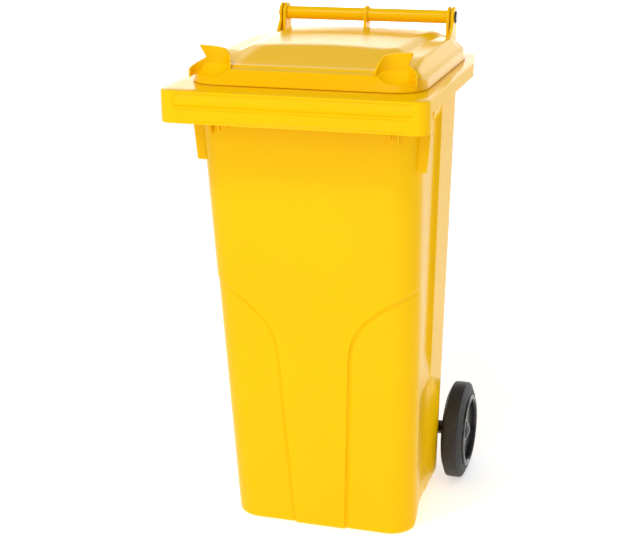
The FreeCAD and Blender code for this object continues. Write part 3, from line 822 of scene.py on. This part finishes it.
def lid_rows():
    """Rows from the pole under the lid, out to the lip, round it, and back over the top to the upper pole."""
    middle = np.array([0.0, -20.0])
    inner = lid_outline(lid_wall)
    outer = lid_outline(1.2)
    rows = []
    for s in np.concatenate([np.linspace(0.02, 0.90, 30), np.linspace(0.915, 0.985, 6)]):
        points = middle + (inner - middle) * s
        rows.append(np.column_stack([points, lid_height(points[:, 0], points[:, 1]) - lid_wall]))
    rows.append(np.column_stack([inner, np.full(len(inner), lid_foot + 2.0)]))
    rows.append(np.column_stack([lid_outline(lid_wall - 0.4), np.full(len(inner), lid_foot)]))
    rows.append(np.column_stack([lid_outline(0.6), np.full(len(inner), lid_foot)]))
    for lift, inset in ((0.6, 0.0), (2.0, 0.0), (3.4, 0.2), (4.4, 0.7)):
        rows.append(np.column_stack([lid_outline(inset), np.full(len(inner), lid_foot + lift)]))
    shares = np.concatenate([np.linspace(1.0, 0.9, 16)[1:], np.linspace(0.9, 0.02, 118)[1:]])
    for s in shares:
        points = middle + (outer - middle) * s
        rows.append(np.column_stack([points, lid_height(points[:, 0], points[:, 1])]))
    return rows, middle


def make_lid():
    """The lid's shell as one closed grid."""
    rows, middle = lid_rows()
    top = float(lid_height(middle[0], middle[1]))
    piece = grid_object("lid_shell", np.stack(rows), wrap=True,
                        pole_first=np.array([*middle, top - lid_wall]), pole_last=np.array([*middle, top]))
    smooth(piece, 40.0)
    return dress(piece, "lid", YELLOW, ["lid"])


lid_shell = make_lid()
print("lid shell:", len(lid_shell.data.polygons), "faces")

# %% [markdown]
# Round the back of each scoop stands a curved guard, so that a gloved hand finds an edge to lift by. It
# is a strip on a circle round the scoop's middle: low where it starts at the front, and higher towards
# its outer end, which leans out over its foot. A lower lip carries on round the outside. Two parameters
# are enough for each: one runs along the strip, and one up it.

# %% Corner grips
guard_radius = 37.2
guard_wall = 3.4
guard_start, guard_end, guard_lean = 169.0, 66.0, 20.0
guard_low, guard_rise, guard_climb = 908.0, 33.0, 9.0
lip_start, lip_end, lip_high, lip_low = 82.0, 4.0, 935.0, 911.0


def grip_surface(side, start, end, top):
    """A strip on the circle round the scoop: along it the turn goes from start to end, which may change with
    height, and across it the strip rises from inside the lid to its top edge."""
    along = np.linspace(0.0, 1.0, 52)[:, None]
    across = np.linspace(0.0, 1.0, 18)[None, :]
    turn = np.radians(start + (end(across) - start) * along)
    x = scoop_x + guard_radius * np.cos(turn)
    y = scoop_y + guard_radius * np.sin(turn)
    edge = top(along) + 0.0 * x
    root = np.minimum(lid_height(x, y) - 3.0, edge - 4.0)
    z = root + (edge - root) * across
    return np.stack([side * x, y, z], axis=-1)


def tall_end(across):
    """The tall strip's last turn: it swings outwards with height."""
    return guard_end - guard_lean * across ** 1.8


def tall_top(along):
    """The tall strip's top edge: a round rise at the front, then a slow climb."""
    return guard_low + guard_rise * step(along, -0.16, 0.38) + guard_climb * along


def lip_end_turn(across):
    """The outer lip's last turn, the same at every height."""
    return lip_end + 0.0 * across


def lip_top_edge(along):
    """The outer lip's top edge, falling from the tall strip's neck to the lid's edge."""
    return lip_high + (lip_low - lip_high) * along ** 0.8


def make_grip(side, name):
    """The guard: the tall strip and the outer lip as two thickened strips in one mesh, with rounded edges."""
    tall = grid_object("tall", grip_surface(side, guard_start, tall_end, tall_top), flip=side < 0)
    lip = grid_object("lip", grip_surface(side, lip_start, lip_end_turn, lip_top_edge), flip=side < 0)
    piece = join(name, [tall, lip])
    solid = piece.modifiers.new("thickness", "SOLIDIFY")
    solid.thickness = guard_wall / MM
    solid.offset = 0.0
    soften(piece, 1.2, 3)
    return dress(smooth(piece, 50.0), "lid", YELLOW)


make_grip(1.0, "grip_right")
make_grip(-1.0, "grip_left")
print("grips at x", scoop_x)

# %% Hinge arms
arm_low, arm_high = 172.5, 178.5


def make_arms():
    """The lid's two arms, outside the tub's brackets, each with a round eye on the hinge line."""
    made = []
    for side in (-1.0, 1.0):
        outline = np.vstack([
            [(166.0, 902.0), (193.0, rim_z + 12.0), (bar_y + 10.0, rim_z + 24.0)],
            arc(bar_y, bar_z, eye_radius, 0.0, 180.0, 24),
            [(bar_y - eye_radius, bar_z - 12.0), (190.0, 921.0), (166.0, 922.0)],
        ])
        low, high = sorted((side * arm_low, side * arm_high))
        made.append(plate("arm", outline, low, high, "x"))
    piece = join("lid_arms", made)
    soften(piece, 1.5, 3)
    return dress(smooth(piece), "lid", YELLOW)


make_arms()
print("arms between x %.1f and %.1f" % (arm_low, arm_high))

# %% [markdown]
# ## Handle bar and wheels
# The bar is a plain tube in the same plastic, so its CAD shape stays and only gets the finish. The tyre
# is turned again with bevelled shoulders and a slightly crowned tread: a profile carried round the axle's
# line, which is the natural form of anything made on a lathe or in a round mould.

# %% Dark finishes
def rubber():
    """Matt black rubber: fine grain, and grey dust in random noise patches."""
    material, tree, shader = principled("tyre_rubber", (0.018, 0.018, 0.018), 0.6)
    dust = spread(tree, noise(tree, 90.0, 6.0), 0.0, 0.3, 0.45, 0.75)
    colour = blend_colours(tree, dust, (0.012, 0.012, 0.012), (0.045, 0.045, 0.045))
    tree.links.new(colour, shader.inputs["Base Color"])
    rough = spread(tree, noise(tree, 300.0, 4.0), 0.48, 0.68)
    tree.links.new(rough, shader.inputs["Roughness"])
    bump(tree, shader, noise(tree, 900.0, 3.0), 0.2, 0.35)
    return material


def dark_plastic():
    """Black moulded plastic with a half gloss that varies, and a faint flow pattern."""
    material, tree, shader = principled("black_plastic", (0.012, 0.012, 0.013), 0.22)
    tone = blend_colours(tree, spread(tree, noise(tree, 40.0, 4.0), 0.0, 1.0), (0.010, 0.010, 0.011),
                         (0.022, 0.022, 0.023))
    tree.links.new(tone, shader.inputs["Base Color"])
    rough = spread(tree, noise(tree, 120.0, 6.0), 0.14, 0.30)
    tree.links.new(rough, shader.inputs["Roughness"])
    bump(tree, shader, noise(tree, 500.0, 2.0), 0.1, 0.12)
    return material


def grey_plastic():
    """Grey bearing plastic, plain and slightly chalky."""
    material, tree, shader = principled("grey_plastic", (0.30, 0.31, 0.32), 0.45)
    tone = blend_colours(tree, spread(tree, noise(tree, 150.0, 4.0), 0.0, 1.0), (0.27, 0.28, 0.29),
                         (0.34, 0.35, 0.36))
    tree.links.new(tone, shader.inputs["Base Color"])
    tree.links.new(spread(tree, noise(tree, 260.0, 4.0), 0.36, 0.54), shader.inputs["Roughness"])
    return material


def zinc_steel():
    """Zinc-plated steel: metallic, with a drawn grain along the axle and cloudy spangle."""
    material, tree, shader = principled("zinc_steel", (0.62, 0.63, 0.64), 0.3)
    shader.inputs["Metallic"].default_value = 1.0
    tone = blend_colours(tree, spread(tree, noise(tree, 70.0, 4.0), 0.0, 1.0), (0.55, 0.56, 0.57),
                         (0.70, 0.70, 0.69))
    tree.links.new(tone, shader.inputs["Base Color"])
    grain = noise(tree, 700.0, 3.0, (0.05, 1.0, 1.0))
    tree.links.new(spread(tree, grain, 0.22, 0.42), shader.inputs["Roughness"])
    bump(tree, shader, grain, 0.05, 0.2)
    return material


RUBBER, BLACK, GREY, STEEL = rubber(), dark_plastic(), grey_plastic(), zinc_steel()
print("made", RUBBER.name, BLACK.name, GREY.name, STEEL.name)

# %% Finishes for the CAD parts that stay
kept_parts = {"handle_bar": YELLOW, "axle": STEEL}
for side in ("left", "right"):
    kept_parts.update({"hinge_pin_" + side: BLACK, "axle_bush_" + side: BLACK, "hub_" + side: BLACK,
                       "hub_cap_" + side: BLACK, "hub_bush_" + side: GREY, "lock_pin_" + side: GREY,
                       "lock_spring_" + side: STEEL})
for node, material in kept_parts.items():
    kept = frame["nodes"][node]
    kept.data.materials.clear()
    kept.data.materials.append(material)
print("kept CAD parts:", len(kept_parts))

# %% Tyres
tyre_bead = 70.0
tyre_radius = (tyre_high[2] - tyre_low[2]) / 2.0


def turned(name, profile, segments=128):
    """A closed profile of (x, radius) points carried round the axle's line."""
    profile = np.asarray(profile, dtype=float)
    turn = np.linspace(0.0, 2.0 * math.pi, segments, endpoint=False)
    x = np.repeat(profile[:, 0][:, None], segments, axis=1)
    y = axle_y + profile[:, 1][:, None] * np.cos(turn)
    z = axle_z + profile[:, 1][:, None] * np.sin(turn)
    rows = np.stack([x, y, z], axis=-1)
    rows = np.concatenate([rows, rows[:1]], axis=0)
    points = rows[:-1].reshape(-1, 3)
    faces = quads(len(rows), segments, True) % len(points)
    return new_object(name, points, faces)


def tyre_profile(low, high):
    """Bead, sidewall, bevelled shoulder and flat tread, then the same again on the other side."""
    middle = (low + high) / 2.0
    half = (high - low) / 2.0
    shoulder = np.array([(half - 0.3, tyre_bead + 14.0), (half - 1.2, tyre_bead + 15.5),
                         (half - 6.4, tyre_radius - 2.4), (half - 7.2, tyre_radius - 1.2),
                         (half - 8.6, tyre_radius - 0.5)])
    tread = np.column_stack([np.linspace(half - 10.0, 0.0, 6), tyre_radius - 0.4 + np.linspace(0.0, 0.4, 6)])
    right = np.vstack([[(half, tyre_bead), (half, tyre_bead + 12.5)], shoulder, tread])
    left = right[-2::-1] * np.array([-1.0, 1.0])
    return np.vstack([right, left]) + np.array([middle, 0.0])


def make_tyres():
    """Both tyres, turned from one profile."""
    made = []
    for side in ("left", "right"):
        low, high = node_box("tyre_" + side)
        piece = turned("tyre_skin_" + side, tyre_profile(low[0], high[0]))
        smooth(piece, 40.0)
        made.append(dress(piece, "wheel_" + side, RUBBER, ["tyre_" + side]))
    return made


make_tyres()
print("tyre radius", tyre_radius)

# %% [markdown]
# ## Studio
# A pale, faintly glowing floor that meets a pale surround, and three soft lights: a small key high at the
# front left, which the lid's front slope mirrors, a wide light in front, and one that fills the floor.
# The surround is bright in a low band behind the bin, so the level and grazing faces turn pale, as they
# do for any glossy plastic in a white room.

# %% Floor and lights
floor_half = 6000.0
floor_glow = 0.5
surround_low, surround_high = 0.42, 2.6
band_top_start, band_top_end = 0.2, 0.36


def make_floor():
    """A square of pale floor, 12 m across, with a faint mottle."""
    half = floor_half
    points = [(-half, -half, 0.0), (half, -half, 0.0), (half, half, 0.0), (-half, half, 0.0)]
    floor = new_object("floor", points, [(0, 1, 2, 3)])
    material, tree, shader = principled("studio_floor", (0.92, 0.92, 0.92), 0.6)
    tone = blend_colours(tree, spread(tree, noise(tree, 3.0, 3.0), 0.0, 1.0), (0.90, 0.90, 0.90),
                         (0.94, 0.94, 0.94))
    tree.links.new(tone, shader.inputs["Base Color"])
    shader.inputs["Emission Color"].default_value = (1.0, 1.0, 1.0, 1.0)
    shader.inputs["Emission Strength"].default_value = floor_glow
    floor.data.materials.append(material)
    return floor


def area_light(name, place, target, size, power):
    """A square soft light at a place in metres, facing a target."""
    data = bpy.data.lights.new(name, "AREA")
    data.shape = "SQUARE"
    data.size = size
    data.energy = power
    lamp = bpy.data.objects.new(name, data)
    lamp.location = place
    direction = Vector(target) - Vector(place)
    lamp.rotation_euler = direction.to_track_quat("-Z", "Y").to_euler()
    bpy.context.scene.collection.objects.link(lamp)
    return lamp


def make_surround(low, high):
    """A white surround, bright in a low band behind the bin and dimmer above and in front of it."""
    world = bpy.data.worlds.new("surround")
    world.use_nodes = True
    tree = world.node_tree
    place = tree.nodes.new("ShaderNodeTexCoord")
    parts = tree.nodes.new("ShaderNodeSeparateXYZ")
    tree.links.new(place.outputs["Generated"], parts.inputs["Vector"])
    behind = spread(tree, parts.outputs["Y"], 0.0, 1.0, 0.0, 0.5)
    level = spread(tree, parts.outputs["Z"], 1.0, 0.0, band_top_start, band_top_end)
    both = tree.nodes.new("ShaderNodeMath")
    both.operation = "MULTIPLY"
    tree.links.new(behind, both.inputs[0])
    tree.links.new(level, both.inputs[1])
    background = tree.nodes["Background"]
    background.inputs["Color"].default_value = (1.0, 1.0, 1.0, 1.0)
    tree.links.new(spread(tree, both.outputs["Value"], low, high, 0.0, 1.0), background.inputs["Strength"])
    bpy.context.scene.world = world


make_floor()
make_surround(surround_low, surround_high)
area_light("key", (-0.9, -2.0, 3.3), (0.0, 0.0, 0.8), 0.5, 30.0)
area_light("front", (0.1, -4.0, 2.2), (0.0, 0.0, 0.45), 1.8, 31.0)
area_light("floor_fill", (0.0, -2.6, 3.4), (0.0, -1.4, 0.0), 2.4, 22.0)
bpy.context.scene.view_settings.view_transform = "Standard"
print("lights ready")

# %% [markdown]
# ## Camera
# A long lens, a little above the lid's height, looks down on the front and the right-hand side. Its place is
# worked out from a direction, a distance and an aim point near the middle of the bin.

# %% Camera
view_turn, view_rise, view_roll = 17.2, 18.1, -0.7
view_distance = 2.747
view_aim = Vector((-0.0341, 0.0, 0.4886))
view_lens = 79.2


def make_camera():
    """A camera turned round the bin by view_turn and raised by view_rise, in degrees."""
    turn, rise = math.radians(view_turn), math.radians(view_rise)
    back = Vector((math.sin(turn) * math.cos(rise), -math.cos(turn) * math.cos(rise), math.sin(rise)))
    data = bpy.data.cameras.new("camera")
    data.lens = view_lens
    data.sensor_width = 36.0
    camera = bpy.data.objects.new("camera", data)
    aim = back.to_track_quat("Z", "Y").to_matrix().to_4x4()
    roll = Matrix.Rotation(math.radians(view_roll), 4, "Z")
    camera.matrix_world = Matrix.Translation(view_aim + back * view_distance) @ aim @ roll
    bpy.context.scene.collection.objects.link(camera)
    bpy.context.scene.camera = camera
    return camera


camera = make_camera()
print("camera at", [round(v, 3) for v in camera.matrix_world.translation])
